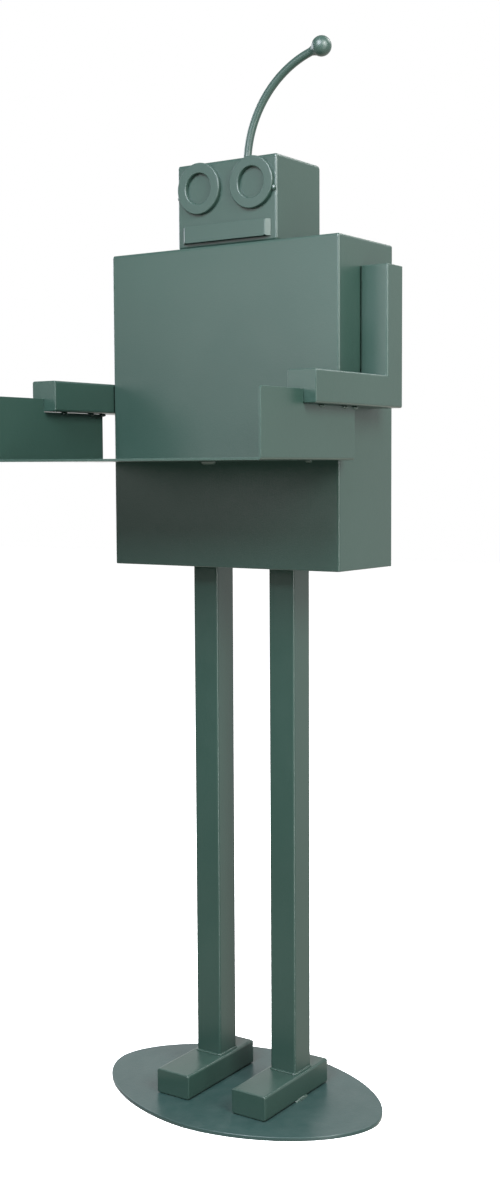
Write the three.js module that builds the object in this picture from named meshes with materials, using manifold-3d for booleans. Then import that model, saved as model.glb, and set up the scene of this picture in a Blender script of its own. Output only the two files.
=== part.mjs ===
// A floor-standing robot figure in welded, powder-coated steel, with a book tray held out on its forearms.
// Millimetres, +Z up. The figure faces -Y, so its own left side is at +X.
// The origin is on the floor, under the middle of the oval base plate.

import * as THREE from 'three';
import { mergeVertices } from 'three/addons/utils/BufferGeometryUtils.js';
import Module from 'manifold-3d';

const wasm = await Module();
wasm.setup();

// ---------- driving dimensions ----------

const GAP = 0.3;                    // clearance left between two pieces that are welded together
const SHEET = 2;                    // sheet steel of the torso, the head and the tray
const BEND = 3;                     // outside radius of a sheet's bend
const WALL = 2;                     // wall of the square and flat tubes
const TUBE_CORNER = 2.4;            // outside corner radius of the tubes
const CAP = 2;                      // plate that closes a tube's end

const BASE = { length: 315, width: 211, thickness: 4, roundness: 1.8 };
const FOOT = { width: 40, length: 118, height: 25 };
const LEG_TUBE = 30;
const ARM_TUBE = 30;
const LEG_X = 46.5;                 // from the middle plane to a leg's axis

const TORSO = { width: 270, depth: 102, height: 315, bottom: 545, front: -32 };
const HEAD = { width: 118, depth: 79, height: 83 };
const TORSO_TOP = TORSO.bottom + TORSO.height;
const TORSO_BACK = TORSO.front + TORSO.depth;
const BODY_Y = TORSO.front + TORSO.depth / 2;   // legs, torso and head share this middle plane
const HEAD_BOTTOM = TORSO_TOP + GAP;
const HEAD_TOP = HEAD_BOTTOM + HEAD.height;
const HEAD_FRONT = BODY_Y - HEAD.depth / 2;

const EYE = { outside: 50, inside: 30, thickness: 4, x: 31.2, z: 918.4, chamfer: 0.5 };
const EYE_TACK = { radius: 2.7, angle: -17 };
const MOUTH = { flat: 95.4, height: 16.2, bottom: 866, standoff: 4.8, sheet: 1.5, notch: 1 };

const ANTENNA = { x: -1.5, rod: 8, straight: 1, bend: 103.2, sweep: 75.3, ball: 19.6 };
const ROOT_BEAD = { foot: 3, height: 3 };
const BALL_BEAD = { foot: 1.6, height: 2.6, overlap: 0.26 };
const BEAD_WAIST = { foot: 0.35, height: 0.4, lip: 0.2 };   // the hollow of a bead's slope, and its top

const FOREARM = { front: -122, back: 36.5, bottom: 699.8 };
const UPPER_ARM_TOP = 834;
const ARM_X = TORSO.width / 2 + GAP + ARM_TUBE / 2;

const TRAY = { width: 304, depth: 157, bottom: 650, side: 62.4, step: 47.3, corner: 3 };
const TRAY_BACK = TORSO.front - GAP;
const SIDE_TACK = { length: 8, width: 5, y: [-91, -50, -31.5] };
const SPARE = 1;                    // how far a cutting body reaches past what it cuts
const TRAY_BEADS = [{ x: -15, length: 18, radius: 4 }, { x: 102, length: 8, radius: 2.4 }];
const FOOT_BEAD = { radius: 2.6, side: 22, y: 7.5, rear: 18 };
const LEG_FILLET = { foot: 2, height: 1.8 };

// ---------- helpers ----------

function coat(color) {
  return new THREE.MeshStandardMaterial({ color, roughness: 0.55, metalness: 0.25 });
}

const COLOURS = { sheet: 0x35504a, tube: 0x314b46, plate: 0x36514c, trim: 0x395650, weld: 0x3b5953 };
const robot = new THREE.Group();
robot.name = 'robot_book_stand';

function add(name, geometry, color, x = 0, y = 0, z = 0) {
  const mesh = new THREE.Mesh(geometry, coat(color));
  mesh.name = name;
  mesh.position.set(x, y, z);
  robot.add(mesh);
  return mesh;
}

// A closed three.js geometry as a solid that can be cut or joined.
function solid(geometry) {
  const bare = geometry.clone();
  bare.deleteAttribute('normal');
  bare.deleteAttribute('uv');
  const merged = mergeVertices(bare, 1e-4);
  return new wasm.Manifold(new wasm.Mesh({
    numProp: 3,
    vertProperties: new Float32Array(merged.attributes.position.array),
    triVerts: new Uint32Array(merged.index.array),
  }));
}

function geometryOf(body) {
  const mesh = body.getMesh();
  const geometry = new THREE.BufferGeometry();
  geometry.setAttribute('position', new THREE.BufferAttribute(mesh.vertProperties, 3));
  geometry.setIndex(new THREE.BufferAttribute(mesh.triVerts, 1));
  return geometry;
}

function block(x0, x1, y0, y1, z0, z1) {
  const geometry = new THREE.BoxGeometry(x1 - x0, y1 - y0, z1 - z0);
  geometry.translate((x0 + x1) / 2, (y0 + y1) / 2, (z0 + z1) / 2);
  return solid(geometry);
}

function extrude(shape, depth, curveSegments = 2) {
  return new THREE.ExtrudeGeometry(shape, { depth, curveSegments, bevelEnabled: false });
}

function roundedRectangle(width, height, radius, PathClass = THREE.Shape) {
  const [w, h] = [width / 2, height / 2];
  const path = new PathClass();
  path.moveTo(-w + radius, -h);
  path.lineTo(w - radius, -h);
  path.absarc(w - radius, -h + radius, radius, -Math.PI / 2, 0);
  path.lineTo(w, h - radius);
  path.absarc(w - radius, h - radius, radius, 0, Math.PI / 2);
  path.lineTo(-w + radius, h);
  path.absarc(-w + radius, h - radius, radius, Math.PI / 2, Math.PI);
  path.lineTo(-w, -h + radius);
  path.absarc(-w + radius, -h + radius, radius, Math.PI, 1.5 * Math.PI);
  return path;
}

// A rectangular tube along +Z from z = 0, with rounded corners inside and out.
function tube(width, height, length) {
  const shape = roundedRectangle(width, height, TUBE_CORNER);
  const inside = roundedRectangle(width - 2 * WALL, height - 2 * WALL, TUBE_CORNER - WALL, THREE.Path);
  shape.holes.push(inside);
  return extrude(shape, length);
}

function flatPlate(width, height, thickness, corner = TUBE_CORNER) {
  return extrude(roundedRectangle(width, height, corner), thickness);
}

// The outline of one sheet bent twice into a channel: a web along X at y = 0, and two sides of a length.
function channelShape(width, side) {
  const w = width / 2;
  const shape = new THREE.Shape();
  shape.moveTo(-w, side);
  shape.lineTo(-w, BEND);
  shape.absarc(-w + BEND, BEND, BEND, Math.PI, 1.5 * Math.PI);
  shape.lineTo(w - BEND, 0);
  shape.absarc(w - BEND, BEND, BEND, -Math.PI / 2, 0);
  shape.lineTo(w, side);
  shape.lineTo(w - SHEET, side);
  shape.lineTo(w - SHEET, BEND);
  shape.absarc(w - BEND, BEND, BEND - SHEET, 0, -Math.PI / 2, true);
  shape.lineTo(-w + BEND, SHEET);
  shape.absarc(-w + BEND, BEND, BEND - SHEET, 1.5 * Math.PI, Math.PI, true);
  shape.lineTo(-w + SHEET, side);
  return shape;
}

// A weld bead along X in the corner between the planes y = 0 and z = 0, on their positive sides.
function cornerBead(length, radius) {
  const capsule = new THREE.CapsuleGeometry(radius, length - 2 * radius, 4, 16);
  capsule.rotateZ(Math.PI / 2);
  const corner = block(-length, length, GAP, 2 * radius, GAP, 2 * radius);
  return geometryOf(solid(capsule).intersect(corner));
}

// ---------- base plate and feet ----------

function basePlate() {
  const shape = new THREE.Shape();
  const steps = 96;
  for (let i = 0; i < steps; i++) {
    const angle = (2 * Math.PI * i) / steps;
    const [c, s] = [Math.cos(angle), Math.sin(angle)];
    const x = (BASE.length / 2) * Math.sign(c) * Math.abs(c) ** (2 / BASE.roundness);
    const y = (BASE.width / 2) * Math.sign(s) * Math.abs(s) ** (2 / BASE.roundness);
    if (i === 0) shape.moveTo(x, y);
    else shape.lineTo(x, y);
  }
  add('base_plate', extrude(shape, BASE.thickness), COLOURS.plate);
}

const FOOT_BOTTOM = BASE.thickness + GAP;
const FOOT_TOP = FOOT_BOTTOM + FOOT.height;

// A flat tube lying along Y, closed by a plate at each end.
function foot(side, sign) {
  const length = FOOT.length - 2 * (CAP + GAP);
  const middle = FOOT_BOTTOM + FOOT.height / 2;
  const body = tube(FOOT.width, FOOT.height, length);
  const cap = flatPlate(FOOT.width, FOOT.height, CAP);
  add(`${side}_foot`, body, COLOURS.tube, sign * LEG_X, length / 2, middle).rotation.x = Math.PI / 2;
  for (const [end, y] of [['front', -FOOT.length / 2 + CAP], ['rear', FOOT.length / 2]]) {
    add(`${side}_foot_${end}_cap`, cap, COLOURS.plate, sign * LEG_X, y, middle).rotation.x = Math.PI / 2;
  }
}

function footWelds(side, sign) {
  const outer = cornerBead(FOOT_BEAD.side, FOOT_BEAD.radius);
  const outerX = sign * (LEG_X + FOOT.width / 2);
  add(`${side}_foot_outer_weld`, outer, COLOURS.weld, outerX, FOOT_BEAD.y, BASE.thickness)
    .rotation.z = -sign * Math.PI / 2;
  const rear = cornerBead(FOOT_BEAD.rear, FOOT_BEAD.radius);
  add(`${side}_foot_rear_weld`, rear, COLOURS.weld, sign * LEG_X, FOOT.length / 2, BASE.thickness);
}

// ---------- legs ----------

function leg(side, sign) {
  const bottom = FOOT_TOP + GAP;
  const length = TORSO.bottom - GAP - bottom;
  add(`${side}_leg`, tube(LEG_TUBE, LEG_TUBE, length), COLOURS.tube, sign * LEG_X, BODY_Y, bottom);
}

// A narrow fillet weld all round the leg where it stands on the foot.
function legFillet(side, sign) {
  const half = LEG_TUBE / 2 + GAP;
  const skirt = new THREE.CylinderGeometry(
    (half + GAP) * Math.SQRT2, (half + LEG_FILLET.foot) * Math.SQRT2, LEG_FILLET.height, 4, 1);
  skirt.rotateY(Math.PI / 4);
  skirt.rotateX(Math.PI / 2);
  const core = extrude(roundedRectangle(2 * half, 2 * half, TUBE_CORNER), LEG_FILLET.height + 2 * SPARE);
  core.translate(0, 0, -LEG_FILLET.height / 2 - SPARE);
  const z = FOOT_TOP + GAP + LEG_FILLET.height / 2;
  const ring = geometryOf(solid(skirt).subtract(solid(core)));
  add(`${side}_leg_weld`, ring, COLOURS.weld, sign * LEG_X, BODY_Y, z);
}

// ---------- torso ----------

function torso() {
  const inner = TORSO.width - 2 * SHEET - 2 * GAP;
  const shell = extrude(channelShape(TORSO.width, TORSO.depth), TORSO.height);
  add('torso_shell', shell, COLOURS.sheet, 0, TORSO.front, TORSO.bottom);

  const back = new THREE.BoxGeometry(inner, SHEET, TORSO.height);
  add('torso_back_panel', back, COLOURS.sheet, 0, TORSO_BACK - SHEET / 2, TORSO.bottom + TORSO.height / 2);

  const depth = TORSO.depth - 2 * SHEET - 2 * GAP;
  const plate = flatPlate(inner, depth, SHEET, BEND - SHEET);
  add('torso_bottom_plate', plate, COLOURS.plate, 0, BODY_Y, TORSO.bottom);
  add('torso_top_plate', plate, COLOURS.plate, 0, BODY_Y, TORSO_TOP - SHEET);
}

// ---------- head ----------

function head() {
  const inner = HEAD.width - 2 * SHEET - 2 * GAP;
  const shell = extrude(channelShape(HEAD.width, HEAD.depth), HEAD.height);
  add('head_shell', shell, COLOURS.sheet, 0, HEAD_FRONT, HEAD_BOTTOM);

  const back = new THREE.BoxGeometry(inner, SHEET, HEAD.height);
  const backY = HEAD_FRONT + HEAD.depth - SHEET / 2;
  add('head_back_panel', back, COLOURS.sheet, 0, backY, HEAD_BOTTOM + HEAD.height / 2);

  const depth = HEAD.depth - 2 * SHEET - 2 * GAP;
  const top = flatPlate(inner, depth, SHEET, BEND - SHEET);
  add('head_top_plate', top, COLOURS.plate, 0, BODY_Y, HEAD_TOP - SHEET);
}

// A thick flat ring, standing on the face with its axis along Y.
function eye(side, sign) {
  const [r0, r1, t, c] = [EYE.inside / 2, EYE.outside / 2, EYE.thickness, EYE.chamfer];
  const profile = [[r0, 0], [r1, 0], [r1, t - c], [r1 - c, t], [r0 + c, t], [r0, t - c], [r0, 0]];
  const ring = new THREE.LatheGeometry(profile.map(([x, y]) => new THREE.Vector2(x, y)), 56);
  ring.rotateX(Math.PI);
  add(`${side}_eye_ring`, ring, COLOURS.trim, sign * EYE.x, HEAD_FRONT - GAP, EYE.z);
}

// The tack weld that joins an eye ring's rim to the face.
function eyeTack(side, sign) {
  const angle = THREE.MathUtils.degToRad(EYE_TACK.angle);
  const r = EYE_TACK.radius;
  const [x, z] = [(EYE.outside / 2) * Math.cos(angle), (EYE.outside / 2) * Math.sin(angle)];
  const blob = new THREE.SphereGeometry(r, 16, 10);
  blob.translate(sign * x, 0, z);
  const rim = new THREE.CylinderGeometry(EYE.outside / 2 + GAP, EYE.outside / 2 + GAP, 4 * r, 56);
  const reach = EYE.outside;
  const front = block(-reach, reach, -2 * r, -GAP, -reach, reach);
  const tack = geometryOf(solid(blob).intersect(front).subtract(solid(rim)));
  add(`${side}_eye_weld`, tack, COLOURS.weld, sign * EYE.x, HEAD_FRONT, EYE.z);
}

// A strip of sheet held off the face by its two ends, which are folded back at 45 degrees.
function mouth() {
  const half = MOUTH.flat / 2;
  const rise = MOUTH.standoff - GAP;
  const inset = MOUTH.sheet * Math.tan(Math.PI / 8);
  const foldX = half + rise;
  const shape = new THREE.Shape();
  shape.moveTo(-half, 0);
  shape.lineTo(half, 0);
  shape.lineTo(foldX, rise);
  shape.lineTo(foldX - MOUTH.sheet * Math.SQRT2, rise);
  shape.lineTo(half - inset, MOUTH.sheet);
  shape.lineTo(-half + inset, MOUTH.sheet);
  shape.lineTo(-foldX + MOUTH.sheet * Math.SQRT2, rise);
  shape.lineTo(-foldX, rise);
  let strip = solid(extrude(shape, MOUTH.height));
  for (const x of [-half, half]) {
    for (const z of [0, MOUTH.height]) {
      const relief = new THREE.CylinderGeometry(MOUTH.notch, MOUTH.notch, 4 * MOUTH.standoff, 16);
      relief.translate(x, 0, z);
      strip = strip.subtract(solid(relief));
    }
  }
  add('mouth_plate', geometryOf(strip), COLOURS.trim, 0, HEAD_FRONT - MOUTH.standoff, MOUTH.bottom);
}

// ---------- antenna ----------

// The rod's centre line: a short straight stretch up from the head, then one arc over to +X.
function antennaPath() {
  const arc = THREE.MathUtils.degToRad(ANTENNA.sweep);
  const points = [new THREE.Vector3(0, 0, 0), new THREE.Vector3(0, 0, ANTENNA.straight / 2)];
  const steps = 16;
  for (let i = 0; i <= steps; i++) {
    const a = (arc * i) / steps;
    const x = ANTENNA.bend * (1 - Math.cos(a));
    const z = ANTENNA.straight + ANTENNA.bend * Math.sin(a);
    points.push(new THREE.Vector3(x, 0, z));
  }
  return new THREE.CatmullRomCurve3(points);
}

// A ring of weld round a rod, with its foot at z = 0 and its axis along Z.
function weldRing(rodRadius, foot, height) {
  const r = rodRadius + GAP;
  const waist = [r + foot * BEAD_WAIST.foot, height * BEAD_WAIST.height];
  const profile = [[r, 0], [r + foot, 0], waist, [r + BEAD_WAIST.lip, height], [r, height], [r, 0]];
  return new THREE.LatheGeometry(profile.map(([x, y]) => new THREE.Vector2(x, y)), 24).rotateX(Math.PI / 2);
}

function antenna() {
  const path = antennaPath();
  const tip = path.getPoint(1);
  const heading = path.getTangent(1);
  const root = HEAD_TOP + GAP;
  const rodRadius = ANTENNA.rod / 2;

  const section = new THREE.Shape();
  section.absarc(0, 0, rodRadius, 0, 2 * Math.PI);
  const rod = new THREE.ExtrudeGeometry(section, {
    steps: 36, curveSegments: 8, bevelEnabled: false, extrudePath: path,
  });
  add('antenna_rod', rod, COLOURS.trim, ANTENNA.x, BODY_Y, root);

  const seat = Math.sqrt((ANTENNA.ball / 2) ** 2 - rodRadius ** 2);
  const centre = tip.clone().addScaledVector(heading, ANTENNA.ball / 2 + GAP);
  const ball = new THREE.SphereGeometry(ANTENNA.ball / 2, 28, 18);
  add('antenna_ball', ball, COLOURS.trim, ANTENNA.x + centre.x, BODY_Y, root + centre.z);

  const rootBead = weldRing(rodRadius, ROOT_BEAD.foot, ROOT_BEAD.height);
  add('antenna_root_weld', rootBead, COLOURS.weld, ANTENNA.x, BODY_Y, root);
  const drop = seat + BALL_BEAD.overlap;
  const foot = centre.clone().addScaledVector(heading, -drop);
  const hollow = new THREE.SphereGeometry(ANTENNA.ball / 2 + GAP, 28, 18);
  hollow.translate(0, 0, -drop);
  const bead = weldRing(rodRadius, BALL_BEAD.foot, BALL_BEAD.height);
  const collar = geometryOf(solid(bead).subtract(solid(hollow)));
  const collarX = ANTENNA.x + foot.x;
  const collarMesh = add('antenna_ball_weld', collar, COLOURS.weld, collarX, BODY_Y, root + foot.z);
  collarMesh.quaternion.setFromUnitVectors(new THREE.Vector3(0, 0, -1), heading);
}

// ---------- arms ----------

// An L of square tube at the torso's side: a forearm forward, and an upper arm on its back end.
function arm(side, sign) {
  const x = sign * ARM_X;
  const middle = FOREARM.bottom + ARM_TUBE / 2;
  const rear = FOREARM.back - CAP - GAP;
  const forearm = tube(ARM_TUBE, ARM_TUBE, rear - FOREARM.front - CAP - GAP);
  const cap = flatPlate(ARM_TUBE, ARM_TUBE, CAP);
  add(`${side}_forearm`, forearm, COLOURS.tube, x, rear, middle).rotation.x = Math.PI / 2;
  for (const [end, y] of [['front', FOREARM.front + CAP], ['rear', FOREARM.back]]) {
    const plate = add(`${side}_forearm_${end}_cap`, cap, COLOURS.plate, x, y, middle);
    plate.rotation.x = Math.PI / 2;
  }
  const bottom = FOREARM.bottom + ARM_TUBE + GAP;
  const y = FOREARM.back - ARM_TUBE / 2;
  const upright = tube(ARM_TUBE, ARM_TUBE, UPPER_ARM_TOP - CAP - GAP - bottom);
  add(`${side}_upper_arm`, upright, COLOURS.tube, x, y, bottom);
  add(`${side}_upper_arm_cap`, cap, COLOURS.plate, x, y, UPPER_ARM_TOP - CAP);
}

// ---------- tray ----------

// One sheet turned up at both ends. Each side is stepped down behind the end of the forearm above it.
function tray() {
  const channel = new THREE.ExtrudeGeometry(channelShape(TRAY.width, TRAY.side), {
    depth: TRAY.depth, curveSegments: 2, bevelEnabled: false,
  });
  const w = TRAY.width / 2 + SPARE;
  const stepLength = TRAY_BACK - FOREARM.front + GAP;
  const step = block(-w, w, TRAY.step, TRAY.side + SPARE, -SPARE, stepLength);

  const r = TRAY.corner;
  const spandrel = new THREE.Shape();
  spandrel.moveTo(SPARE, SPARE);
  spandrel.lineTo(-r, SPARE);
  spandrel.lineTo(-r, 0);
  spandrel.absarc(-r, -r, r, Math.PI / 2, 0, true);
  spandrel.lineTo(SPARE, -r);
  const rounding = extrude(spandrel, 2 * w, 4);
  rounding.rotateY(-Math.PI / 2);
  rounding.translate(w, TRAY.side, TRAY.depth);

  const sheet = geometryOf(solid(channel).subtract(step).subtract(solid(rounding)));
  add('tray', sheet, COLOURS.sheet, 0, TRAY_BACK, TRAY.bottom).rotation.x = Math.PI / 2;
}

// Tacks between the tray's stepped sides and the forearms, and beads under the tray along the torso.
function trayWelds() {
  const room = FOREARM.bottom - TRAY.bottom - TRAY.step;
  const tack = new THREE.SphereGeometry(0.5, 16, 8);
  tack.scale(SIDE_TACK.width, SIDE_TACK.length, room - 2 * GAP);
  for (const [side, sign] of [['left', 1], ['right', -1]]) {
    SIDE_TACK.y.forEach((y, i) => {
      const x = sign * (TRAY.width / 2 - SHEET / 2);
      add(`${side}_tray_tack_${i + 1}`, tack, COLOURS.weld, x, y, TRAY.bottom + TRAY.step + room / 2);
    });
  }
  TRAY_BEADS.forEach((bead, i) => {
    const mesh = add(`tray_back_weld_${i + 1}`, cornerBead(bead.length, bead.radius), COLOURS.weld,
      bead.x, TORSO.front, TRAY.bottom);
    mesh.rotation.x = Math.PI;
  });
}

// ---------- assembly ----------

basePlate();
for (const [side, sign] of [['left', 1], ['right', -1]]) {
  foot(side, sign);
  footWelds(side, sign);
  leg(side, sign);
  legFillet(side, sign);
}
torso();
head();
for (const [side, sign] of [['left', 1], ['right', -1]]) {
  eye(side, sign);
  eyeTack(side, sign);
}
mouth();
antenna();
for (const [side, sign] of [['left', 1], ['right', -1]]) arm(side, sign);
tray();
trayWelds();

export default robot;
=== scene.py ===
import math

import bmesh
import bpy
from mathutils import Matrix, Vector, noise


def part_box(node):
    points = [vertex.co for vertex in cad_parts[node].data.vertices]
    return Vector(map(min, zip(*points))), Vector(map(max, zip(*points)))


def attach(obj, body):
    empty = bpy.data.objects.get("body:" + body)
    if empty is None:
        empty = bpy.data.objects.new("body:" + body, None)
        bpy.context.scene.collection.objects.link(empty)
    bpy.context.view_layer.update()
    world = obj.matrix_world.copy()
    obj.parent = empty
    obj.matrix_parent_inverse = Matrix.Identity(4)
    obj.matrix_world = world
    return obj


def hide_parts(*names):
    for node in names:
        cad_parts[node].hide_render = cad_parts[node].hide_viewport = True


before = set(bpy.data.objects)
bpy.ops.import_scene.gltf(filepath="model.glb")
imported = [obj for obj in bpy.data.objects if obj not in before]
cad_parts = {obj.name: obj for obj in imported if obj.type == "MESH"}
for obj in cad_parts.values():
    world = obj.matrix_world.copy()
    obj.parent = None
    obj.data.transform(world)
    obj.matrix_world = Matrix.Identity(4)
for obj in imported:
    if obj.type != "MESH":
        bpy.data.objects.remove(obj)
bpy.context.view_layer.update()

# A floor-standing robot figure in welded, powder-coated steel, which holds a book tray on its forearms.
# Metres, +Z up. The figure faces -Y, so its own left side is at +X. Every place comes from the CAD boxes.

MM = 0.001
BODY = "root"

WALL = 2 * MM               # wall of the tubes
SHEET = 2 * MM              # sheet of torso, head and tray
BEND = 3 * MM               # outside radius of the tray's bends
SHELL_BEND = 2.4 * MM       # outside radius of the bends of torso and head
TUBE_CORNER = 2.4 * MM      # outside radius of a tube's long edges
COAT_EDGE = 0.45 * MM       # how far the coat rounds a cut edge
GROUND_EDGE = 1.1 * MM      # how far a tube's welded outer edge is ground round
SHELL_TOP = (1.8 * MM, 2.8 * MM)       # how far a shell's top edge is ground off, inward and downward
SHELL_EDGE = (0.9 * MM, 0.9 * MM)      # its other edges
HEAD_CORNER = (5.0 * MM, 4.5 * MM)     # and the head's top rear corners, forward and downward
NECK_GAP = 1.0 * MM         # the open joint between head and torso
SEAM = 0.12 * MM            # what shows of the joint round a plate that is set in flush
FIT_GAP = 0.3 * MM          # what stays open between two pieces that are welded together

SIDES = (("left", 1), ("right", -1))


# ---------- camera, light and floor ----------

CAMERA_PLACE = Vector((0.8573, -1.2472, 0.6426))
CAMERA_YAW, CAMERA_PITCH, CAMERA_ROLL = 33.861, 4.462, -0.27   # degrees
CAMERA_LENS = 45.12
CAMERA_SHIFT = (-0.0059, -0.0117)


def make_camera():
    data = bpy.data.cameras.new("camera")
    data.lens = CAMERA_LENS
    data.shift_x, data.shift_y = CAMERA_SHIFT
    camera = bpy.data.objects.new("camera", data)
    turn = Matrix.Rotation(math.radians(CAMERA_YAW), 4, "Z")
    tilt = Matrix.Rotation(math.radians(90 - CAMERA_PITCH), 4, "X")
    roll = Matrix.Rotation(math.radians(CAMERA_ROLL), 4, "Z")
    camera.matrix_world = Matrix.Translation(CAMERA_PLACE) @ turn @ tilt @ roll
    bpy.context.scene.collection.objects.link(camera)
    bpy.context.scene.camera = camera


NEUTRAL, COOL, WARM = (1.0, 1.0, 1.0), (0.98, 1.0, 1.10), (1.0, 0.98, 0.89)


def soft_light(name, place, target, size, watts, tint):
    data = bpy.data.lights.new(name, "AREA")
    data.shape = "RECTANGLE"
    data.size, data.size_y = size
    data.energy = watts
    data.color = tint
    light = bpy.data.objects.new(name, data)
    light.location = place
    aim = (Vector(target) - Vector(place)).to_track_quat("-Z", "Y")
    light.rotation_mode = "QUATERNION"
    light.rotation_quaternion = aim
    light.visible_camera = False
    bpy.context.scene.collection.objects.link(light)


# Brightness of the room that lights the figure: the wall behind it, the ceiling, and the floor around it.
ROOM_WALL, ROOM_CEILING, ROOM_FLOOR, NEAR_FLOOR = 1.0, 0.6, 0.22, 0.9
HORIZON = (-0.45, -0.2)     # the wall's light fades into the floor's between these heights of a ray
WALL_LEFT = 1.35            # how much brighter the wall is on the left
WALL_TOP = (0.36, 0.46)     # and between which heights of a ray it fades away upwards
PAPER_EDGE = (-0.42, -0.33)     # below these the rays meet the white paper round the base


def make_room_light():
    """A white room, brightest behind the figure. The camera sees plain white all round."""
    world = bpy.data.worlds.new("white_room")
    world.use_nodes = True
    tree = world.node_tree
    link = tree.links.new
    direction = tree.nodes.new("ShaderNodeSeparateXYZ")
    link(tree.nodes.new("ShaderNodeTexCoord").outputs["Generated"], direction.inputs[0])

    def ramp(axis, start, stop, low, high):
        node = tree.nodes.new("ShaderNodeMapRange")
        node.interpolation_type = "SMOOTHSTEP"
        link(direction.outputs[axis], node.inputs["Value"])
        for name, value in (("From Min", start), ("From Max", stop), ("To Min", low), ("To Max", high)):
            node.inputs[name].default_value = value
        return node

    def sum_of(first, second, operation):
        node = tree.nodes.new("ShaderNodeMath")
        node.operation = operation
        link(first.outputs[0], node.inputs[0])
        link(second.outputs[0], node.inputs[1])
        return node

    wall = sum_of(ramp("Y", 0.0, 0.5, 0, ROOM_WALL), ramp("Z", *WALL_TOP, 1, 0.1), "MULTIPLY")
    wall = sum_of(wall, ramp("X", -0.5, -0.2, WALL_LEFT, 1), "MULTIPLY")
    upper = sum_of(wall, ramp("Z", 0.4, 0.9, 0, ROOM_CEILING), "ADD")
    upper = sum_of(upper, ramp("Z", *HORIZON, 0, 1), "MULTIPLY")
    total = sum_of(upper, ramp("Z", *HORIZON, ROOM_FLOOR, 0), "ADD")
    total = sum_of(total, ramp("Z", *PAPER_EDGE, NEAR_FLOOR, 0), "ADD")
    room = tree.nodes["Background"]
    tint = tree.nodes.new("ShaderNodeMix")
    tint.data_type = "RGBA"
    tint.inputs[6].default_value = WARM + (1,)
    tint.inputs[7].default_value = NEUTRAL + (1,)
    link(ramp("Z", *HORIZON, 0, 1).outputs[0], tint.inputs["Factor"])
    link(tint.outputs[2], room.inputs["Color"])
    link(total.outputs[0], room.inputs["Strength"])
    backdrop = tree.nodes.new("ShaderNodeBackground")
    backdrop.inputs["Color"].default_value = (1, 1, 1, 1)
    mix = tree.nodes.new("ShaderNodeMixShader")
    link(tree.nodes.new("ShaderNodeLightPath").outputs["Is Camera Ray"], mix.inputs[0])
    link(room.outputs[0], mix.inputs[1])
    link(backdrop.outputs[0], mix.inputs[2])
    link(mix.outputs[0], tree.nodes["World Output"].inputs["Surface"])
    bpy.context.scene.world = world


# Name, place, what it points at, width and height, watts, and tint
STUDIO_LIGHTS = (
    ("front_softbox", (0.15, -1.7, 1.85), (0, 0, 0.8), (1.0, 1.0), 112, COOL),
    ("side_softbox", (1.45, -0.55, 1.55), (0, 0, 0.75), (0.8, 0.8), 58, NEUTRAL),
    ("low_side_softbox", (2.25, -0.45, 0.9), (0, 0, 0.7), (1.0, 1.0), 17, NEUTRAL),
    ("low_front_softbox", (-1.1, -2.06, 1.0), (0, 0, 0.85), (1.0, 0.6), 9, NEUTRAL),
    ("edge_striplight", (2.25, -1.3, -0.1), (0, 0, 0.2), (0.3, 1.2), 30, NEUTRAL),
    ("left_softbox", (-2.2, 0.2, 1.4), (0, 0, 0.9), (1.2, 1.2), 30, COOL),
    ("back_softbox", (0.9, 1.8, 2.6), (0, 0, 0.7), (1.0, 1.0), 36, NEUTRAL),
)


def make_studio():
    bpy.context.scene.view_settings.view_transform = "Standard"
    make_room_light()
    for name, place, target, size, watts, tint in STUDIO_LIGHTS:
        soft_light(name, place, target, size, watts, tint)


def make_floor():
    mesh = bpy.data.meshes.new("floor")
    reach = 8.0             # from the middle to a side
    corners = [(-reach, -reach, 0), (reach, -reach, 0), (reach, reach, 0), (-reach, reach, 0)]
    mesh.from_pydata(corners, [], [(0, 1, 2, 3)])
    floor = bpy.data.objects.new("floor", mesh)
    bpy.context.scene.collection.objects.link(floor)
    nodes = Nodes("pale_floor")
    cloud = nodes.noise(scale=3, detail=4)
    tint = nodes.blend(cloud, (0.90, 0.90, 0.90, 1), (0.93, 0.93, 0.925, 1))
    nodes.finish({"Base Color": tint, "Roughness": 0.8, "Emission Color": (1, 1, 1, 1),
                  "Emission Strength": 0.6})
    mesh.materials.append(nodes.material)
    # The room light stands for the floor's part in lighting the figure.
    floor.visible_diffuse = floor.visible_glossy = floor.visible_shadow = False


# ---------- materials ----------

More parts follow.
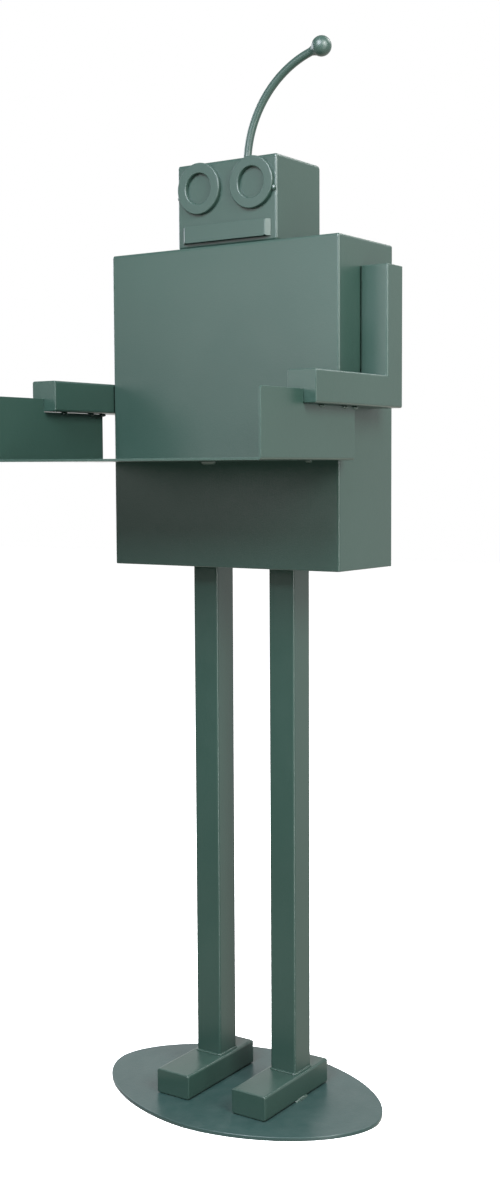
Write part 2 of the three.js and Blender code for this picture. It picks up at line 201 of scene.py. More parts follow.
class Nodes:
    """A small wrapper that builds one material's node tree."""

    def __init__(self, name):
        self.material = bpy.data.materials.new(name)
        self.material.use_nodes = True
        self.tree = self.material.node_tree
        self.shader = self.tree.nodes["Principled BSDF"]
        self.where = self.add("ShaderNodeTexCoord")

    def add(self, kind, inputs=None, **settings):
        node = self.tree.nodes.new(kind)
        for key, value in settings.items():
            setattr(node, key, value)
        self.fill(node, inputs or {})
        return node

    def fill(self, node, inputs):
        for key, value in inputs.items():
            if isinstance(value, tuple) and hasattr(value[0], "outputs"):
                self.tree.links.new(value[0].outputs[value[1]], node.inputs[key])
            elif hasattr(value, "outputs"):
                self.tree.links.new(value.outputs[0], node.inputs[key])
            else:
                node.inputs[key].default_value = value

    def noise(self, scale, detail=2.0, roughness=0.5, stretch=None):
        place = (self.where, "Object")
        if stretch:
            place = self.add("ShaderNodeMapping", {"Vector": place, "Scale": stretch})
        return self.add("ShaderNodeTexNoise", {"Vector": place, "Scale": scale, "Detail": detail,
                                               "Roughness": roughness})

    def spread(self, source, low, high, to_low=0.0, to_high=1.0):
        return self.add("ShaderNodeMapRange", {"Value": source, "From Min": low, "From Max": high,
                                               "To Min": to_low, "To Max": to_high})

    def math(self, operation, first, second):
        return self.add("ShaderNodeMath", {0: first, 1: second}, operation=operation)

    def blend(self, factor, first, second):
        mix = self.add("ShaderNodeMix", {"Factor": factor, 6: first, 7: second}, data_type="RGBA")
        return (mix, 2)

    def bump(self, height, distance, strength=1.0, under=None):
        inputs = {"Height": height, "Distance": distance, "Strength": strength}
        if under:
            inputs["Normal"] = under
        return self.add("ShaderNodeBump", inputs)

    def finish(self, inputs):
        self.fill(self.shader, inputs)


def shade(colour, factor):
    return tuple(channel * factor for channel in colour) + (1,)


WEAR_AND_HIGHLIGHT_REACH = 0.9 * MM       # how wide the edge lightening is: partly rubbed coat, partly painted highlight
PAINTED_SHADE_REACH = 5 * MM       # how near the walls of a gap have to be for its painted shade
SWELL_DEPTH = 0.07 * MM     # depth of the orange peel's wide waves
PEBBLE_DEPTH = 0.11 * MM    # and of its small ones


def edge_mask(nodes, radius):
    """1 where the surface turns sharply within the radius, 0 on flat stretches."""
    rounded = nodes.add("ShaderNodeBevel", {"Radius": radius}, samples=8)
    flat = nodes.add("ShaderNodeNewGeometry")
    dot = nodes.add("ShaderNodeVectorMath", {0: rounded, 1: (flat, "Normal")}, operation="DOT_PRODUCT")
    return nodes.spread((dot, "Value"), 0.98, 0.80)


def upward_mask(nodes):
    facing = nodes.add("ShaderNodeSeparateXYZ", {0: (nodes.add("ShaderNodeNewGeometry"), "Normal")})
    return nodes.spread((facing, "Z"), 0.6, 0.95)


def painted_shade_mask(nodes, reach):
    """1 in the open, falling in narrow gaps and inner corners, where the colour gets painted shade."""
    open_air = nodes.add("ShaderNodeAmbientOcclusion", {"Distance": reach}, samples=8)
    return nodes.spread((open_air, "AO"), 0.1, 0.45, 0.1, 1.0)


def powder_coat(name, colour, roughness=0.34, wear_and_highlight=0.6, dust=0.0, rub=0.0, ripple=0.0, peel=1.0):
    """Fine-textured satin powder coat: grain, orange peel, edges lightened partly where the coat is rubbed
    thin and partly as a painted highlight, and painted shade in narrow gaps.

    dust and rub say how much of them the upward faces get, ripple how deep a weld's ripples are, and peel
    how strong the orange peel is.
    """
    nodes = Nodes(name)
    cloud = nodes.noise(scale=7, detail=3)
    speck = nodes.noise(scale=1400, detail=1)
    tone = nodes.math("ADD", nodes.spread(cloud, 0.3, 0.7, 0.0, 0.6),
                      nodes.spread(speck, 0.3, 0.7, 0.0, 0.4))
    paint = nodes.blend(tone, shade(colour, 0.92), shade(colour, 1.08))

    edge = edge_mask(nodes, WEAR_AND_HIGHLIGHT_REACH)
    chips = nodes.spread(nodes.noise(scale=160, detail=4, roughness=0.7), 0.35, 0.65, 0.25, 1.0)
    worn_and_highlit = nodes.math("MULTIPLY", edge, chips)
    # Painted highlight mixed with rubbed coat: the edges are lightened towards 2.6 times the colour.
    paint = nodes.blend(nodes.math("MULTIPLY", worn_and_highlit, wear_and_highlight), paint, shade(colour, 2.6))
    # Painted shade: the colour is darkened towards black in narrow gaps and inner corners.
    paint = nodes.blend(painted_shade_mask(nodes, PAINTED_SHADE_REACH), shade(colour, 0.0), paint)

    smear = nodes.spread(nodes.noise(scale=16, detail=5, roughness=0.62), 0.42, 0.72, -0.02, 0.04)
    gloss = nodes.math("ADD", smear, roughness)
    grain = nodes.spread(speck, 0.2, 0.8, -0.04, 0.04)
    gloss = nodes.math("ADD", gloss, grain)
    gloss = nodes.math("ADD", gloss, nodes.math("MULTIPLY", edge, 0.14))

    if dust:
        fine = nodes.noise(scale=60, detail=6, roughness=0.75)
        film = nodes.spread(fine, 0.38, 0.8, 0.0, dust)
        film = nodes.math("MULTIPLY", film, upward_mask(nodes))
        paint = nodes.blend(film, paint, (0.42, 0.43, 0.41, 1))
        gloss = nodes.math("ADD", gloss, nodes.math("MULTIPLY", film, 0.35))
    if rub:
        marks = nodes.noise(scale=30, detail=5, roughness=0.7, stretch=(1.0, 14.0, 1.0))
        marks = nodes.spread(marks, 0.56, 0.74, 0.0, rub)
        marks = nodes.math("MULTIPLY", marks, upward_mask(nodes))
        paint = nodes.blend(marks, paint, shade(colour, 1.9))
        gloss = nodes.math("SUBTRACT", gloss, nodes.math("MULTIPLY", marks, 0.25))

    swell = nodes.noise(scale=240, detail=2)
    relief = nodes.bump(swell, SWELL_DEPTH * peel, 0.6)
    pebble = nodes.noise(scale=650, detail=3, roughness=0.6)
    relief = nodes.bump(pebble, PEBBLE_DEPTH * peel, 0.7, under=relief)
    if ripple:
        wave = nodes.noise(scale=520, detail=2)
        relief = nodes.bump(wave, ripple, 0.7, under=relief)
    nodes.finish({"Base Color": paint, "Roughness": gloss, "Normal": relief, "Metallic": 0.0,
                  "Specular IOR Level": 0.5})
    return nodes.material


GREEN = (0.0135, 0.033, 0.0255)
BASE_GREEN = (0.0125, 0.0325, 0.0295)

MATERIALS = {
    "base_coat": powder_coat("base_powder_coat", BASE_GREEN, roughness=0.34, dust=0.03),
    "tube_coat": powder_coat("tube_powder_coat", GREEN, roughness=0.34, dust=0.02),
    "sheet_coat": powder_coat("sheet_powder_coat", GREEN, roughness=0.37, wear_and_highlight=0.4, dust=0.02),
    "tray_coat": powder_coat("tray_powder_coat", GREEN, roughness=0.34, wear_and_highlight=1.0, dust=0.02, rub=0.12),
    "trim_coat": powder_coat("trim_powder_coat", GREEN, roughness=0.42, peel=0.35),
    "weld_coat": powder_coat("weld_powder_coat", GREEN, roughness=0.32, ripple=0.1 * MM),
}


# ---------- mesh helpers ----------

def box_of(node):
    low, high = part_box(node)
    return Vector(low), Vector(high)


SHARP = math.radians(40)


def round_more(bm, chosen, wide, narrow):
    """Gives the sharp edges their own rounding: wide where chosen(edge) says so, and narrow elsewhere."""
    weights = bm.edges.layers.float.new("bevel_weight_edge")
    for edge in bm.edges:
        if len(edge.link_faces) == 2 and edge.calc_face_angle() > SHARP:
            edge[weights] = 1.0 if chosen(edge) else narrow / wide


def make_piece(name, bm, nodes, slot, edge=COAT_EDGE, weighted=False):
    """Rounds the cut edges as a coat does, shades the piece and puts it in the place of its CAD nodes.

    edge is the rounding's size. 0 only keeps the creases sharp, and None leaves all of it smooth. weighted
    takes which edges are rounded, and how much, from the mesh's own edge weights.
    """
    bmesh.ops.recalc_face_normals(bm, faces=bm.faces)
    if edge == 0:
        for seam in bm.edges:
            seam.smooth = seam.calc_face_angle(0) < SHARP
    mesh = bpy.data.meshes.new(name)
    bm.to_mesh(mesh)
    bm.free()
    mesh.polygons.foreach_set("use_smooth", [True] * len(mesh.polygons))
    mesh.materials.append(MATERIALS[slot])
    piece = bpy.data.objects.new(name, mesh)
    bpy.context.scene.collection.objects.link(piece)
    if edge:
        bevel = piece.modifiers.new("rounding", "BEVEL")
        bevel.width = edge
        bevel.segments = 4 if weighted else 3
        bevel.limit_method = "WEIGHT" if weighted else "ANGLE"
        bevel.angle_limit = SHARP
    if edge is not None:
        weight = piece.modifiers.new("flats", "WEIGHTED_NORMAL")
        weight.weight = 100
        weight.keep_sharp = True
        bpy.context.view_layer.update()
        ready = piece.evaluated_get(bpy.context.evaluated_depsgraph_get())
        piece.data = bpy.data.meshes.new_from_object(ready)
        piece.modifiers.clear()
    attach(piece, BODY)
    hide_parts(*nodes)
    return piece


def arc(centre, radius, start, stop, steps):
    """Points of an arc in a plane, angles in degrees, both ends included."""
    angles = [math.radians(start + (stop - start) * i / steps) for i in range(steps + 1)]
    return [(centre[0] + radius * math.cos(a), centre[1] + radius * math.sin(a)) for a in angles]


def rounded_rectangle(width, height, radius, steps=8):
    w, h = width / 2 - radius, height / 2 - radius
    corners = ((w, h, 0), (-w, h, 90), (-w, -h, 180), (w, -h, 270))
    return [point for x, y, a in corners for point in arc((x, y), radius, a, a + 90, steps)]


def rounding(inward, along, steps=6):
    """A rounded edge, from its rim to where it ends: (distance from the rim, how far it is set in)."""
    turns = [math.pi / 2 * k / steps for k in range(steps + 1)]
    return [(along * (1 - math.cos(t)), inward * (1 - math.sin(t))) for t in turns]


def wall(bm, low, high):
    """Faces between two closed rings of as many points."""
    for k in range(len(low)):
        m = (k + 1) % len(low)
        bm.faces.new((low[k], low[m], high[m], high[k]))


def rounded_plate(width, height, corner, thickness, edge, place):
    """A plate from local z = 0 to its thickness, with the rim round its z = 0 face ground round."""
    bm = bmesh.new()
    rings = []
    for z, inset in rounding(edge, edge) + [(thickness, 0.0)]:
        outline = rounded_rectangle(width - 2 * inset, height - 2 * inset, corner - inset)
        rings.append([bm.verts.new(place @ Vector((x, y, z))) for x, y in outline])
    for low, high in zip(rings, rings[1:]):
        wall(bm, low, high)
    bm.faces.new(rings[0])
    bm.faces.new(rings[-1])
    return bm


def prism(outline, length, place, hole=None):
    """An outline in the local XY plane drawn out along local Z, with an optional hole of as many points."""
    bm = bmesh.new()

    def ring(points, z):
        return [bm.verts.new(place @ Vector((x, y, z))) for x, y in points]

    low, high = ring(outline, 0), ring(outline, length)
    wall(bm, low, high)
    if hole:
        inner_low, inner_high = ring(hole, 0), ring(hole, length)
        wall(bm, inner_low, inner_high)
        wall(bm, low, inner_low)
        wall(bm, high, inner_high)
    else:
        bm.faces.new(low)
        bm.faces.new(high)
    return bm


def standing(x, y, z):
    """Local Z up."""
    return Matrix.Translation((x, y, z))


def lying(x, y, z):
    """Local Z towards +Y, local X along X."""
    return Matrix.Translation((x, y, z)) @ Matrix.Rotation(-math.pi / 2, 4, "X")


def sheet_metal(columns, rows, point, keep, thickness, inset=lambda i, j: 0.0):
    """A sheet made of cells. point(i, j) gives a place on its outside and the way that side faces.

    inset(i, j) says how far the outside is ground off there.
    """
    bm = bmesh.new()
    verts = {}

    def corner(i, j, side):
        if (i, j, side) not in verts:
            place, facing = point(i, j)
            verts[i, j, side] = bm.verts.new(place - facing * (thickness if side else inset(i, j)))
        return verts[i, j, side]

    cells = {(i, j) for i in range(columns) for j in range(rows) if keep(i, j)}
    for i, j in cells:
        loop = [(i, j), (i + 1, j), (i + 1, j + 1), (i, j + 1)]
        for side in (0, 1):
            bm.faces.new([corner(a, b, side) for a, b in loop])
        for k, step in enumerate(((0, -1), (1, 0), (0, 1), (-1, 0))):
            if (i + step[0], j + step[1]) not in cells:
                (a, b), (c, d) = loop[k], loop[(k + 1) % 4]
                bm.faces.new([corner(a, b, 0), corner(c, d, 0), corner(c, d, 1), corner(a, b, 1)])
    return bm


def channel_section(width, side_stops, bend=BEND, steps=8):
    """Places and facings along a sheet bent into a channel: side, bend, web, bend, side.

    side_stops are the distances from the web's outer face at which a side has a line of points, far end
    first. The web lies along local X, and the sides point to local +Y.
    """
    w = width / 2
    left = [((-w, stop), (-1, 0)) for stop in side_stops]
    for (x, y) in arc((-w + bend, bend), bend, 180, 270, steps):
        left.append(((x, y), ((x + w - bend) / bend, (y - bend) / bend)))
    right = [((-x, y), (-nx, ny)) for (x, y), (nx, ny) in reversed(left)]
    return left + right


def lathe(profile, place, steps=96):
    """A closed profile of (radius, height) turned about local Z."""
    bm = bmesh.new()
    rings = []
    for radius, height in profile:
        if radius < 1e-9:
            rings.append([bm.verts.new(place @ Vector((0, 0, height)))] * steps)
            continue
        turn = [2 * math.pi * k / steps for k in range(steps)]
        rings.append([bm.verts.new(place @ Vector((radius * math.cos(a), radius * math.sin(a), height)))
                      for a in turn])
    pairs = list(zip(rings, rings[1:]))
    if profile[0][0] > 1e-9:
        pairs.append((rings[-1], rings[0]))
    for low, high in pairs:
        for k in range(steps):
            m = (k + 1) % steps
            loop = list(dict.fromkeys((low[k], low[m], high[m], high[k])))
            bm.faces.new(loop)
    return bm


def tube_along(path, section_at):
    """A skin with closed ends: section_at(i) gives the ring of points at the path's point i."""
    bm = bmesh.new()
    rings = [[bm.verts.new(p) for p in section_at(i)] for i in range(len(path))]
    for low, high in zip(rings, rings[1:]):
        wall(bm, low, high)
    bm.faces.new(rings[0])
    bm.faces.new(rings[-1])
    return bm


def endless(rings):
    """A skin over rings of points, where the last ring joins the first."""
    bm = bmesh.new()
    rings = [[bm.verts.new(p) for p in ring] for ring in rings]
    for k, low in enumerate(rings):
        wall(bm, low, rings[(k + 1) % len(rings)])
    return bm


# ---------- base, feet and legs ----------

def base_plate():
    """An oval a little more pointed than an ellipse."""
    low, high = box_of("base_plate")
    half = (high - low) / 2
    roundness = 1.8
    points = []
    steps = 240
    for k in range(steps):
        a = 2 * math.pi * k / steps
        c, s = math.cos(a), math.sin(a)
        points.append((half.x * math.copysign(abs(c) ** (2 / roundness), c),
                       half.y * math.copysign(abs(s) ** (2 / roundness), s)))
    bm = prism(points, high.z - low.z, standing(low.x + half.x, low.y + half.y, low.z))
    make_piece("base_plate_steel", bm, ["base_plate"], "base_coat", edge=0.7 * MM)


def rect_tube(name, nodes, place, width, height, length, slot="tube_coat"):
    outer = rounded_rectangle(width, height, TUBE_CORNER)
    inner = rounded_rectangle(width - 2 * WALL, height - 2 * WALL, TUBE_CORNER - WALL)
    make_piece(name, prism(outer, length, place, hole=inner), nodes, slot, edge=0)


def end_cap(name, node, outward):
    """The plate over the end of a tube along Y, ground round on the rim that faces outward (-1 or 1)."""
    low, high = box_of(node)
    size, middle = high - low, (low + high) / 2
    face = low.y if outward < 0 else high.y
    place = Matrix.Translation((middle.x, face, middle.z)) @ Matrix.Rotation(math.pi / 2 * outward, 4, "X")
    bm = rounded_plate(size.x, size.z, TUBE_CORNER, size.y, GROUND_EDGE, place)
    make_piece(name, bm, [node], "tube_coat", edge=0)


def lying_tube(name, node, front_cap, rear_cap):
    """A tube along Y that runs right up to its end plates."""
    low, high = box_of(node)
    start, stop = box_of(front_cap)[1].y, box_of(rear_cap)[0].y
    middle = (low + high) / 2
    rect_tube(name, [node], lying(middle.x, start, middle.z), high.x - low.x, high.z - low.z, stop - start)


def foot(side):
    front, rear = f"{side}_foot_front_cap", f"{side}_foot_rear_cap"
    lying_tube(f"{side}_foot_tube", f"{side}_foot", front, rear)
    end_cap(f"{side}_foot_front_plate", front, -1)
    end_cap(f"{side}_foot_rear_plate", rear, 1)


def leg(side):
    low, high = box_of(f"{side}_leg")
    middle = (low + high) / 2
    bottom, top = box_of(f"{side}_foot")[1].z, box_of("torso_shell")[0].z
    rect_tube(f"{side}_leg_tube", [f"{side}_leg"], standing(middle.x, middle.y, bottom), high.x - low.x,
              high.y - low.y, top - bottom)


# ---------- torso, head and tray ----------

def ground(far, inward, along):
    """How far a rounded edge is set in at a distance from its rim."""
    left = max(1 - far / along, 0)
    return inward * (1 - math.sqrt(1 - left ** 2))


def bent_shell(name, node, corner=SHELL_TOP, foot_edge=SHELL_EDGE, lift=0.0):
    """Front and two sides from one sheet, standing up, with the web at the front and ground outer edges.

    corner says how far the top rear corners are ground off, forward and downward.
    """
    low, high = box_of(node)
    middle_x = (low.x + high.x) / 2
    depth = high.y - low.y
    rear = rounding(*SHELL_EDGE)
    section = channel_section(high.x - low.x, [depth - far for far, _ in rear], bend=SHELL_BEND)
    rows = [(low.z + lift + far, cut) for far, cut in rounding(*foot_edge)]
    rows += [(high.z - far, ground(far, *SHELL_TOP)) for far, _ in reversed(rounding(*corner, steps=12))]
    last = len(section) - 1

    def point(i, j):
        (x, y), (nx, ny) = section[i]
        if min(i, last - i) < len(rear):
            y -= ground(high.z - rows[j][0], *corner)
        return Vector((middle_x + x, low.y + y, rows[j][0])), Vector((nx, ny, 0))

    def inset(i, j):
        from_rear = min(i, last - i)
        return max(rows[j][1], rear[from_rear][1] if from_rear < len(rear) else 0.0)

    bm = sheet_metal(last, len(rows) - 1, point, lambda i, j: True, SHEET, inset)
    make_piece(name, bm, [node], "sheet_coat", edge=0)


def set_in_plate(name, node, shell, axis, corner=None):
    """A flat plate set flush inside a bent shell, grown to leave only a hairline seam.

    One with a corner is at the top rear, and is ground off with the shell's corner, forward and downward.
    """
    low, high = box_of(node)
    shell_low, shell_high = box_of(shell)
    reach = SHEET + SEAM
    size = high - low
    half_x = (shell_high.x - shell_low.x) / 2 - reach
    middle_x = (low.x + high.x) / 2
    if corner:
        forward, downward = corner
        if axis == "y":
            stops = [size.y * (k / 8) ** 2 for k in range(9)]
        else:
            stops = [reach + (forward - reach) * k / 6 for k in range(7)]
            stops.append(shell_high.y - shell_low.y - reach)
        layers = [(shell_high.y - far, ground(far, downward, forward)) for far in stops]

        def ring(i):
            y, cut = layers[i]
            outline = rounded_rectangle(2 * half_x, size.z - cut, 0.3 * MM, steps=2)
            return [Vector((middle_x + x, y, (low.z + high.z - cut) / 2 + z)) for x, z in outline]

        bm = tube_along(layers, ring)
    else:
        depth = shell_high.y - shell_low.y - 2 * reach
        outline = rounded_rectangle(2 * half_x, depth, SHELL_BEND - SHEET, steps=4)
        bm = prism(outline, size.z, standing(middle_x, (shell_low.y + shell_high.y) / 2, low.z))
    make_piece(name, bm, [node], "sheet_coat", edge=0 if corner else 0.25 * MM)


TRAY_CORNER = 3 * MM


def tray():
    """One sheet turned up at both ends, with each side stepped down behind the forearm's end."""
    low, high = box_of("tray")
    arm_front = box_of("left_forearm_front_cap")[0].y
    step_top = box_of("left_forearm")[0].z - 0.5 * MM - low.z
    full = high.z - low.z
    round_stops = [full - TRAY_CORNER + y for _, y in reversed(arc((0, 0), TRAY_CORNER, 0, 90, 6))]
    side_stops = round_stops + [step_top]
    section = channel_section(high.x - low.x, side_stops)
    middle_x = (low.x + high.x) / 2
    last = len(section) - 1
    above_step = len(round_stops)

    def front_edge(z):
        over = z - (full - TRAY_CORNER)
        if over <= 0:
            return low.y
        return low.y + TRAY_CORNER - math.sqrt(max(TRAY_CORNER ** 2 - over ** 2, 0))

    def point(i, j):
        (x, z), (nx, nz) = section[i]
        y = (front_edge(z), arm_front - FIT_GAP, high.y)[j]
        return Vector((middle_x + x, y, low.z + z)), Vector((nx, 0, nz))

    def keep(i, j):
        return j == 0 or above_step <= i < last - above_step

    bm = sheet_metal(last, 2, point, keep, SHEET)
    make_piece("tray_sheet", bm, ["tray"], "tray_coat", edge=0.4 * MM)


# ---------- face ----------

RING_HOLE = 0.6             # a ring's hole, as a share of its outside
RING_ROUND = 1.0 * MM       # rounding of a ring's front edges


def eye(side):
    low, high = box_of(f"{side}_eye_ring")
    middle = (low + high) / 2
    outside, thickness = (high.x - low.x) / 2, high.y - low.y
    inside = outside * RING_HOLE
    r = RING_ROUND
    profile = [(inside, 0), (outside, 0)]
    profile += arc((outside - r, thickness - r), r, 0, 90, 5)
    profile += arc((inside + r, thickness - r), r, 90, 180, 5)
    place = Matrix.Translation((middle.x, high.y, middle.z)) @ Matrix.Rotation(math.pi / 2, 4, "X")
    ring = lathe(profile, place, 128)
    make_piece(f"{side}_eye", ring, [f"{side}_eye_ring"], "trim_coat", edge=0.12 * MM)


MOUTH_SHEET = 1.5 * MM
MOUTH_NOTCH = 1.0 * MM
MOUTH_BEND = 2.0 * MM


def mouth():
    """A strip held off the face by its ends, which are folded back at 45 degrees beyond relief notches."""
    low, high = box_of("mouth_plate")
    rise = high.y - low.y
    half = (high.x - low.x) / 2 - rise
    turn = math.radians(45)
    tangent = MOUTH_BEND * math.tan(turn / 2)
    centre = (half - tangent, MOUTH_BEND)
    section = []
    steps = 8
    for k in range(steps + 1):
        a = turn * k / steps
        facing = Vector((math.sin(a), -math.cos(a), 0))
        along = MOUTH_BEND * a
        section.append((Vector((centre[0], centre[1], 0)) + facing * MOUTH_BEND, facing, along))
    fold = MOUTH_BEND * turn / 2
    wing = rise * math.sqrt(2) - tangent
    way = Vector((math.cos(turn), math.sin(turn), 0))
    facing = section[-1][1]
    for k in range(1, 5):
        reach = 0.5 * MM * k if k < 4 else wing
        section.append((section[steps][0] + way * reach, facing, MOUTH_BEND * turn + reach))
    start = section[0]
    near = [(start[0] - Vector((0.5 * MM * k, 0, 0)), start[1], -0.5 * MM * k) for k in (3, 2, 1)]
    half_section = near + section
    mirrored = [(Vector((-p.x, p.y, 0)), Vector((-n.x, n.y, 0)), along)
                for p, n, along in reversed(half_section)]
    whole = mirrored + half_section
    middle_x = (low.x + high.x) / 2

    def point(i, j):
        place, facing, along = whole[i]
        off = abs(along - fold)
        cut = math.sqrt(max(MOUTH_NOTCH ** 2 - off ** 2, 0))
        z = (low.z + cut, high.z - cut)[j]
        return Vector((middle_x + place.x, low.y + place.y, z)), facing

    bm = sheet_metal(len(whole) - 1, 1, point, lambda i, j: True, MOUTH_SHEET)
    make_piece("mouth_strip", bm, ["mouth_plate"], "trim_coat", edge=0.3 * MM)


# ---------- antenna ----------

ANTENNA_STRAIGHT = 1.0 * MM
ANTENNA_BEND = 103.2 * MM
ANTENNA_SWEEP = math.radians(75.3)
BALL_FLAT = 3.6 * MM        # radius of the flat that the rod is welded to


def antenna_root():
    """Where the rod's middle line meets the head, and the rod's radius."""
    low, high = box_of("antenna_rod")
    radius = (high.y - low.y) / 2
    top = box_of("head_top_plate")[1].z
    return Vector((low.x + radius, (low.y + high.y) / 2, top)), radius


def antenna_rod():
    root, radius = antenna_root()
    stub = box_of("antenna_rod")[0].z + ANTENNA_STRAIGHT - root.z
    path = [(root, Vector((0, 0, 1)))]
    steps = 72
    for k in range(steps + 1):
        a = ANTENNA_SWEEP * k / steps
        place = root + Vector((ANTENNA_BEND * (1 - math.cos(a)), 0, stub + ANTENNA_BEND * math.sin(a)))
        path.append((place, Vector((math.sin(a), 0, math.cos(a)))))
    side = Vector((0, 1, 0))

    def ring(i):
        place, heading = path[i]
        other = heading.cross(side)
        turns = [2 * math.pi * k / 40 for k in range(40)]
        return [place + (side * math.cos(a) + other * math.sin(a)) * radius for a in turns]

    bm = tube_along(path, ring)
    make_piece("antenna_round_bar", bm, ["antenna_rod"], "trim_coat", edge=None)
    return path[-1]


def antenna_ball(tip):
    """A turned ball with a small flat where the rod is welded on."""
    low, high = box_of("antenna_ball")
    radius = (high.x - low.x) / 2
    heading = tip[1]
    centre = (low + high) / 2
    aim = heading.to_track_quat("Z", "Y").to_matrix().to_4x4()
    flat = math.degrees(math.asin(BALL_FLAT / radius))
    stops = 44
    profile = [(0, -radius * math.cos(math.radians(flat)))]
    for k in range(stops + 1):
        a = math.radians(flat + (180 - flat) * k / stops)
        profile.append((max(radius * math.sin(a), 0), -radius * math.cos(a)))
    profile[-1] = (0, radius)
    bm = lathe(profile, Matrix.Translation(centre) @ aim, 96)
    make_piece("antenna_end_ball", bm, ["antenna_ball"], "trim_coat", edge=None)


# ---------- arms ----------

def arm(side):
    """Forearm and upper arm as one L of square tube: its joint and its closed ends are ground flush."""
    front, rear = f"{side}_forearm_front_cap", f"{side}_forearm_rear_cap"
    forearm, upper, top = f"{side}_forearm", f"{side}_upper_arm", f"{side}_upper_arm_cap"
    low, high = box_of(forearm)
    start, back = box_of(front)[0].y, box_of(rear)[1].y
    upper_front, crown = box_of(upper)[0].y, box_of(top)[1].z
    outline = [(start, low.z), (back, low.z), (back, crown), (upper_front, crown), (upper_front, high.z),
               (start, high.z)]
    bm = bmesh.new()
    inner, outer = ([bm.verts.new((x, y, z)) for y, z in outline] for x in (low.x, high.x))
    bm.faces.new(inner)
    bm.faces.new(outer)
    wall(bm, inner, outer)
    bmesh.ops.recalc_face_normals(bm, faces=bm.faces)

    def is_long(edge):
        """Along the arm, and longer than the tube is wide."""
        one, two = (vert.co for vert in edge.verts)
        return abs(one.x - two.x) < MM and (one - two).length > 1.2 * (high.z - low.z)

    round_more(bm, is_long, TUBE_CORNER, GROUND_EDGE)
    make_piece(f"{side}_arm_tube", bm, [forearm, front, rear, upper, top], "tube_coat", edge=TUBE_CORNER,
               weighted=True)


# ---------- welds ----------

RIPPLE = 1.5 * MM           # spacing of a weld bead's ripples
BEAD_SINK = 0.2 * MM        # how far a bead's root reaches into the piece that it goes round


def bead_swell(along, length, seed):
    """How full a bead is at a distance along it: rippled, uneven, and rounded off at its ends."""
    u = 2 * along / length - 1
    end = math.sqrt(max(1 - abs(u) ** 5, 0))
    ripple = 0.045 * abs(math.sin(math.pi * along / RIPPLE))
    wander = 0.12 * noise.noise(Vector((along / (4 * MM), seed, 0)))
    return end * (0.90 + ripple + wander)


def corner_bead(node, toward, seed):
    """A fillet weld in the corner between two surfaces. toward holds the signs of the open directions."""
    low, high = box_of(node)
    size = high - low
    axis = max(range(3), key=lambda k: size[k] if toward[k] == 0 else -1)
    first, second = [k for k in range(3) if k != axis]
    corner = [0.0, 0.0, 0.0]
    reach = {}
    for k in (first, second):
        corner[k] = low[k] - FIT_GAP if toward[k] > 0 else high[k] + FIT_GAP
        reach[k] = (size[k] + FIT_GAP) * toward[k]
    length = size[axis]
    stops = max(int(length / (0.3 * MM)), 24)
    path = range(stops + 1)

    def ring(i):
        along = length * (i + 0.02) / (stops + 0.04)
        full = max(bead_swell(along, length, seed), 0.02)
        points = []
        for k in range(13):
            a = math.radians(90 * k / 12)
            chord = abs(math.sin(a)) + abs(math.cos(a))
            bulge = 0.55 + 0.45 / chord
            place = list(corner)
            place[axis] = low[axis] + along
            place[first] += reach[first] * math.cos(a) * full * bulge
            place[second] += reach[second] * math.sin(a) * full * bulge
            points.append(Vector(place))
        centre = list(corner)
        centre[axis] = low[axis] + along
        points.append(Vector(centre))
        return points

    make_piece(f"{node}_bead", tube_along(path, ring), [node], "weld_coat", edge=None)


def ring_bead(name, node, place, radius, foot, height, seed, hollow=1.3):
    """A weld all round a rod: a fillet with its foot on the surface that local Z points away from.

    hollow is the power that shapes its slope: full below 2 and hollowed out above.
    """
    around, section = 96, 10
    rings = []
    for k in range(around):
        a = 2 * math.pi * k / around
        swell = 1 + 0.07 * abs(math.sin(a * 9))
        swell += 0.06 * noise.noise(Vector((3 * math.cos(a), 3 * math.sin(a), seed)))
        points = [(radius - BEAD_SINK, 0.0)]
        for m in range(section + 1):
            b = math.radians(90 * m / section)
            points.append((radius + foot * swell * math.cos(b) ** hollow,
                           height * swell * math.sin(b) ** hollow))
        points.append((radius - BEAD_SINK, height * swell))
        rings.append([place @ Vector((r * math.cos(a), r * math.sin(a), z)) for r, z in points])
    make_piece(name, endless(rings), [node], "weld_coat", edge=None)


def leg_fillet(side, seed):
    """The narrow rippled weld all round a leg where it stands on its foot."""
    node = f"{side}_leg_weld"
    low, high = box_of(node)
    leg_low, leg_high = box_of(f"{side}_leg")
    middle = (low + high) / 2
    width = leg_high.x - leg_low.x
    toe = (high.x - low.x - width) / 2
    height = high.z - low.z + FIT_GAP
    floor = low.z - FIT_GAP
    outline = rounded_rectangle(width, width, TUBE_CORNER, steps=10)
    path = []
    for k, (x, y) in enumerate(outline):
        x2, y2 = outline[(k + 1) % len(outline)]
        pieces = max(int(math.hypot(x2 - x, y2 - y) / (0.4 * MM)), 1)
        path += [(x + (x2 - x) * m / pieces, y + (y2 - y) * m / pieces) for m in range(pieces)]
    rings = []
    travelled = 0.0
    for k, (x, y) in enumerate(path):
        before, after = path[k - 1], path[(k + 1) % len(path)]
        out = Vector((after[1] - before[1], before[0] - after[0])).normalized()
        travelled += math.hypot(x - before[0], y - before[1])
        swell = 0.66 + 0.05 * abs(math.sin(math.pi * travelled / RIPPLE))
        swell += 0.10 * noise.noise(Vector((x * 150, y * 150, seed)))
        points = [(-BEAD_SINK, 0.0)]
        for m in range(7):
            b = math.radians(90 * m / 6)
            points.append((toe * swell * math.cos(b), height * swell * math.sin(b)))
        points.append((-BEAD_SINK, height * swell))
        rings.append([(middle.x + x + out.x * r, middle.y + y + out.y * r, floor + z) for r, z in points])
    make_piece(f"{side}_leg_foot_bead", endless(rings), [node], "weld_coat", edge=None)


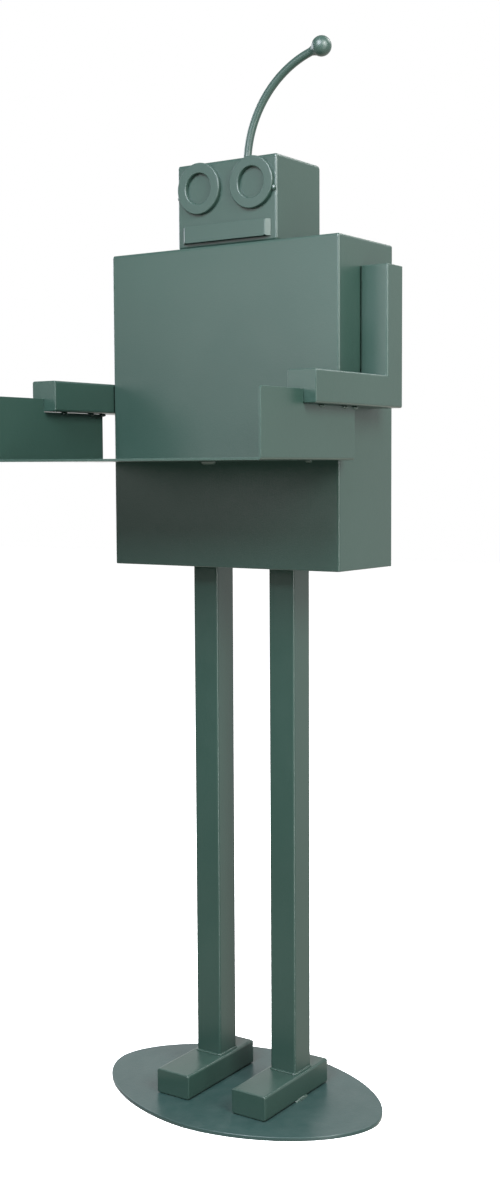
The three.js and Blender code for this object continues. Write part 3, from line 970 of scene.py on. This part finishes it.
def blob(name, node, grow, seed, uneven=0.10):
    """A tack weld: a small uneven lump that fills its CAD box and reaches a little past it where asked."""
    low, high = box_of(node)
    middle, half = (low + high) / 2, (high - low) / 2 + Vector(grow)
    bm = bmesh.new()
    bmesh.ops.create_icosphere(bm, subdivisions=4, radius=1.0)
    for vert in bm.verts:
        lump = 1 + uneven * noise.noise(vert.co * 1.7 + Vector((seed, 0, 0)))
        lump += 0.03 * noise.noise(vert.co * 6 + Vector((seed, 0, 0)))
        vert.co = middle + Vector([vert.co[k] * half[k] * min(lump, 1.04) for k in range(3)])
    make_piece(name, bm, [node], "weld_coat", edge=None)


def welds(tip):
    for side, sign in SIDES:
        seed = 3.0 + sign
        corner_bead(f"{side}_foot_outer_weld", (sign, 0, 1), seed)
        corner_bead(f"{side}_foot_rear_weld", (0, 1, 1), seed + 7)
        leg_fillet(side, seed)
        grow = (0.5 * sign * MM - 0.1 * MM, 0.3 * MM, 0.3 * sign * MM)
        blob(f"{side}_eye_tack", f"{side}_eye_weld", grow, seed, uneven=0.45)
        for k in (1, 2, 3):
            node = f"{side}_tray_tack_{k}"
            blob(f"{node}_bead", node, (0.7 * MM, 0.3 * MM, 0.9 * MM), seed + k)
    corner_bead("tray_back_weld_1", (0, -1, -1), 21.0)
    corner_bead("tray_back_weld_2", (0, -1, -1), 22.0)
    root, radius = antenna_root()
    foot = Matrix.Translation(root)
    ring_bead("antenna_root_bead", "antenna_root_weld", foot, radius, 3 * MM, 3 * MM, 5.0)
    place, heading = tip
    aim = (-heading).to_track_quat("Z", "Y").to_matrix().to_4x4()
    foot = Matrix.Translation(place + heading * 2.0 * MM) @ aim
    ring_bead("antenna_ball_bead", "antenna_ball_weld", foot, radius, 1.7 * MM, 4.6 * MM, 9.0, hollow=2.3)


# ---------- assembly ----------

make_camera()
make_studio()
make_floor()

base_plate()
for side, _ in SIDES:
    foot(side)
    leg(side)
    arm(side)
    eye(side)
bent_shell("torso_wrap", "torso_shell")
set_in_plate("torso_back", "torso_back_panel", "torso_shell", "y", SHELL_TOP)
set_in_plate("torso_bottom", "torso_bottom_plate", "torso_shell", "z")
set_in_plate("torso_top", "torso_top_plate", "torso_shell", "z")
bent_shell("head_wrap", "head_shell", corner=HEAD_CORNER, foot_edge=SHELL_TOP, lift=NECK_GAP)
set_in_plate("head_back", "head_back_panel", "head_shell", "y", HEAD_CORNER)
set_in_plate("head_top", "head_top_plate", "head_shell", "z", HEAD_CORNER)
mouth()
tray()
rod_tip = antenna_rod()
antenna_ball(rod_tip)
welds(rod_tip)
